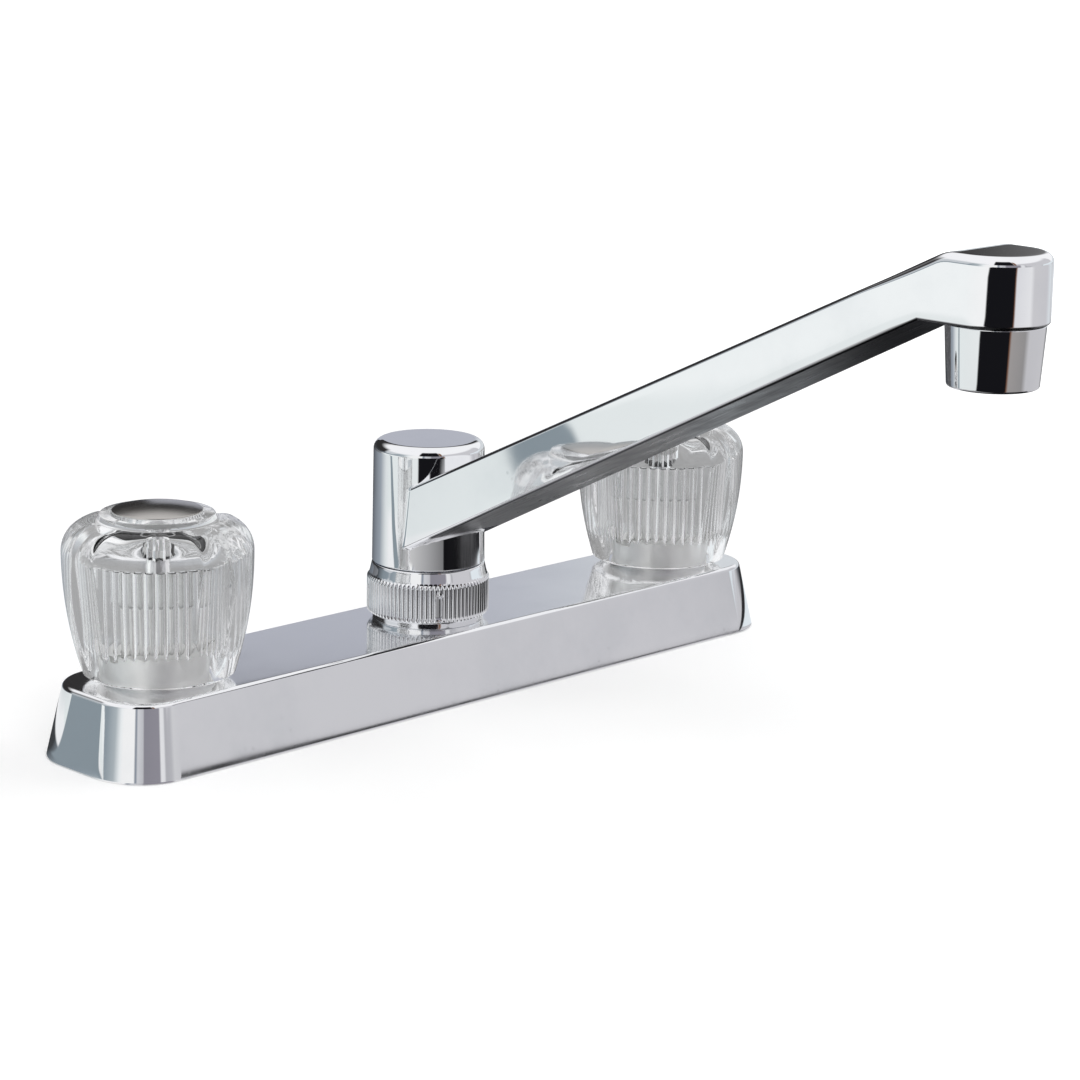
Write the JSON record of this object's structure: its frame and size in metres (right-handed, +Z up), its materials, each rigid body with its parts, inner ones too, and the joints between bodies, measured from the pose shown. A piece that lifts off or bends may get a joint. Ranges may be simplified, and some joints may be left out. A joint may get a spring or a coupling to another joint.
{
  "type": "two handle kitchen faucet",
  "caption": "Deck mounted kitchen mixer with a long low cover plate, clear lobed acrylic knobs, a knurled spout nut and a sloping cast swing spout with an aerator.",
  "frame": {"origin": "centre of the putty plate's underside, on the deck, below the spout's swivel axis", "axes": "+Z up from the deck, -Y to the front along the spout at rest, -X towards the hot handle, +X along the cover to the cold handle"},
  "size_m": [0.2608, 0.2426, 0.2111],
  "materials": {
    "chrome_plate": "polished chrome plate",
    "plate_plastic": "moulded, matte",
    "cast_brass": "as cast, machined at the seats",
    "shank_brass": "turned, threaded",
    "stem_brass": "turned",
    "bonnet_brass": "turned",
    "washer_steel": "zinc plated",
    "spring_steel": "stainless wire",
    "screw_steel": "stainless",
    "nut_plastic": "moulded, satin",
    "sleeve_plastic": "moulded acetal",
    "seal_rubber": "moulded rubber",
    "clear_acrylic": "clear moulded acrylic, polished",
    "button_silver": "silvered behind a clear face"
  },
  "bodies": {
    "deck_unit": {"base_cover": "chrome_plate", "putty_plate": "plate_plastic", "waterway_body": "cast_brass", "lock_washers": "washer_steel", "lock_nuts": "nut_plastic", "seat_seals": "seal_rubber", "seat_springs": "spring_steel", "bonnet_nuts": "bonnet_brass", "spout_nut": "chrome_plate", "hot_inlet_shank": "shank_brass", "cold_inlet_shank": "shank_brass", "hot_valve_sleeve": "sleeve_plastic", "cold_valve_sleeve": "sleeve_plastic"},
    "hot_handle": {"hot_valve_stem": "stem_brass", "hot_stem_o_ring": "seal_rubber", "hot_knob": "clear_acrylic", "hot_handle_screw": "screw_steel", "hot_index_button": "button_silver"},
    "cold_handle": {"cold_valve_stem": "stem_brass", "cold_stem_o_ring": "seal_rubber", "cold_knob": "clear_acrylic", "cold_handle_screw": "screw_steel", "cold_index_button": "button_silver"},
    "swing_spout": {"spout": "chrome_plate", "spout_o_rings": "seal_rubber", "spout_slip_ring": "sleeve_plastic", "aerator_housing": "chrome_plate", "aerator_insert": "sleeve_plastic", "aerator_washer": "seal_rubber"}
  },
  "joints": [
    {"name": "hot_turn", "type": "hinge", "parent": "deck_unit", "child": "hot_handle", "pos_m": [-0.1016, 0, 0.04], "axis": [0, 0, 1], "range_deg": [0, 90]},
    {"name": "cold_turn", "type": "hinge", "parent": "deck_unit", "child": "cold_handle", "pos_m": [0.1016, 0, 0.04], "axis": [0, 0, -1], "range_deg": [0, 90]},
    {"name": "spout_swivel", "type": "hinge", "parent": "deck_unit", "child": "swing_spout", "pos_m": [0, 0, 0.03], "axis": [0, 0, 1], "continuous": true}
  ]
}
